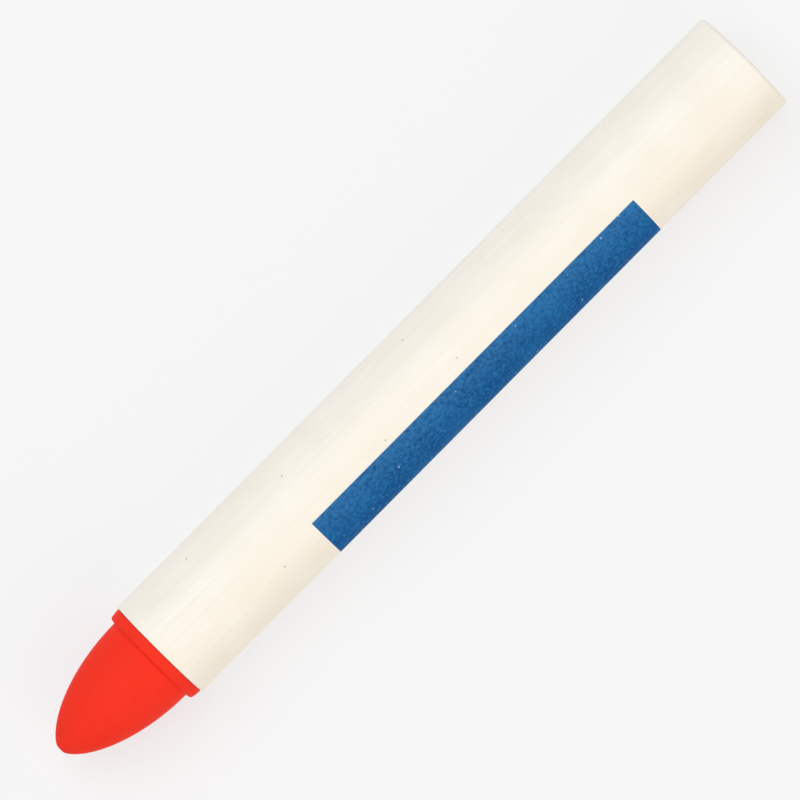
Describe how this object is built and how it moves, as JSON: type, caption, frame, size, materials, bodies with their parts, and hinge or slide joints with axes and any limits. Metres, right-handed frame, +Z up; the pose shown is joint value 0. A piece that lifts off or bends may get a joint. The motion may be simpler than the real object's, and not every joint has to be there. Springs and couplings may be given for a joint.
{
  "type": "twist-up paint marker",
  "caption": "Twist-up solid paint marker: a plain tubular barrel with a coloured panel, a bullet-shaped pull-off cap and a recessed turn knob that feeds the paint stick.",
  "frame": {"origin": "on the surface the marker lies on, under the middle of its length and of its width", "axes": "+X along the marker towards the tip of the cap, +Y to the side of the printed panel, +Z up"},
  "size_m": [0.138, 0.017, 0.017],
  "materials": {
    "ivory_plastic": "satin moulded polypropylene, with a blue printed panel on the barrel",
    "red_plastic": "satin moulded polypropylene",
    "red_paint": "waxy solid paint",
    "white_plastic": "moulded acetal",
    "black_rubber": "moulded nitrile rubber"
  },
  "bodies": {
    "barrel": {"barrel": "ivory_plastic", "rear_bush": "white_plastic", "seal_ring": "black_rubber"},
    "cap": {"cap": "red_plastic"},
    "knob": {"turn_knob": "ivory_plastic", "feed_screw": "white_plastic"},
    "feed": {"stick_carrier": "white_plastic", "paint_stick": "red_paint"}
  },
  "joints": [
    {"name": "cap_pull", "type": "slide", "parent": "barrel", "child": "cap", "axis": [1, 0, 0], "range_m": [0, 0.05]},
    {"name": "knob_turn", "type": "hinge", "parent": "barrel", "child": "knob", "pos_m": [-0.066, 0, 0.00848], "axis": [1, 0, 0], "range_deg": [0, 901]},
    {"name": "stick_feed", "type": "slide", "parent": "barrel", "child": "feed", "axis": [1, 0, 0], "range_m": [0, 0.0125]}
  ],
  "couplings": [
    {"joint": "knob_turn", "follows": "stick_feed", "rad_per_m": 1256.6}
  ]
}
